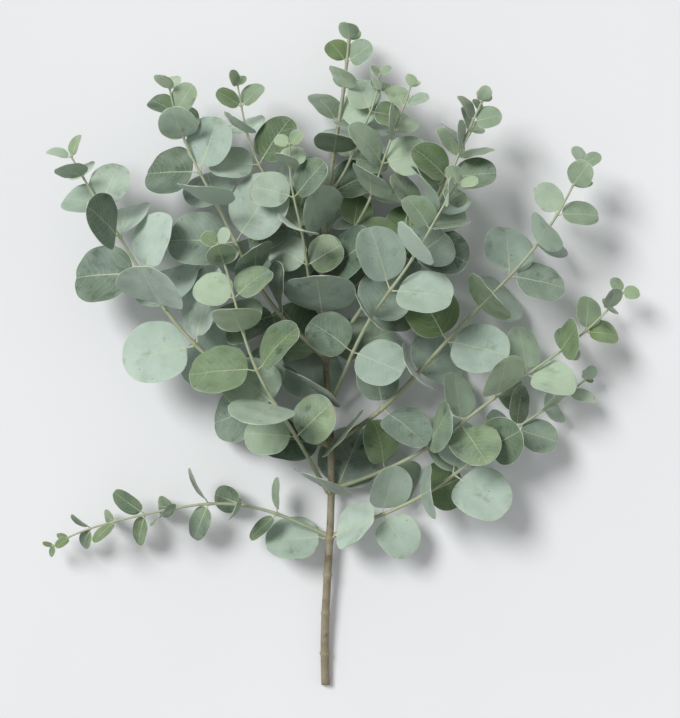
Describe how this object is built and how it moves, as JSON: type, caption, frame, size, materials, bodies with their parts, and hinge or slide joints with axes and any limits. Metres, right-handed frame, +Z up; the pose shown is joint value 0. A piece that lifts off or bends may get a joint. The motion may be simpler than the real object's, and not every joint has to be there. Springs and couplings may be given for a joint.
{
  "type": "silver dollar eucalyptus stem",
  "caption": "Cut silver dollar eucalyptus stem lying flat: a bare-footed main stem with opposite side shoots and pairs of round, waxy grey-green leaves.",
  "frame": {"origin": "on the surface that the stem lies on, under the middle of its box", "axes": "+Y up the main stem from its cut end, +X to the right as seen from above, +Z up from the surface"},
  "size_m": [0.514, 0.5718, 0.1338],
  "materials": {
    "bark": "smooth young bark, olive brown, paler at the pairs of leaves",
    "green_twig": "green twig with a pale waxy bloom, and the young leaves joined to it",
    "leaf": "grey-green leaf with a matt waxy bloom and a pale midrib"
  },
  "bodies": {
    "root": {"drooping_left": "green_twig", "leaning_right": "green_twig", "lower_left": "green_twig", "lower_left_leaf_1a": "leaf", "lower_left_leaf_1b": "leaf", "lower_left_leaf_2b": "leaf", "lower_left_leaf_3a": "leaf", "lower_left_leaf_3b": "leaf", "lower_left_leaf_4a": "leaf", "lower_left_leaf_4b": "leaf", "lower_left_leaf_5a": "leaf", "lower_left_leaf_5b": "leaf", "lower_left_leaf_6b": "leaf", "lower_right": "green_twig", "lower_right_leaf_2a": "leaf", "lower_right_leaf_2b": "leaf", "lower_right_leaf_3a": "leaf", "lower_right_leaf_3b": "leaf", "lower_right_leaf_4a": "leaf", "lower_right_leaf_4b": "leaf", "lowest_right": "green_twig", "lowest_right_leaf_3a": "leaf", "lowest_right_leaf_3b": "leaf", "main_stem": "bark", "main_stem_leaf_1b": "leaf", "main_stem_leaf_2a": "leaf", "main_stem_leaf_2b": "leaf", "main_stem_leaf_3a": "leaf", "main_stem_leaf_3b": "leaf", "main_stem_leaf_4a": "leaf", "main_stem_leaf_4b": "leaf", "main_stem_leaf_5a": "leaf", "main_stem_leaf_5b": "leaf", "main_stem_leaf_6a": "leaf", "main_stem_leaf_6b": "leaf", "main_stem_leaf_7a": "leaf", "main_stem_leaf_7b": "leaf", "main_stem_leaf_8a": "leaf", "middle_left": "green_twig", "middle_left_leaf_2a": "leaf", "middle_left_leaf_2b": "leaf", "middle_left_leaf_3a": "leaf", "middle_left_leaf_3b": "leaf", "middle_left_leaf_4a": "leaf", "middle_left_leaf_4b": "leaf", "middle_right": "green_twig", "raised_left": "green_twig", "raised_left_leaf_2a": "leaf", "raised_left_leaf_2b": "leaf", "raised_left_leaf_3a": "leaf", "raised_left_leaf_3b": "leaf", "raised_right": "green_twig", "raised_right_leaf_2b": "leaf", "raised_right_leaf_3a": "leaf", "raised_right_leaf_3b": "leaf", "raised_top": "green_twig", "spreading_right": "green_twig", "top_right": "green_twig", "upper_left": "green_twig", "upper_right": "green_twig"}
  },
  "joints": []
}
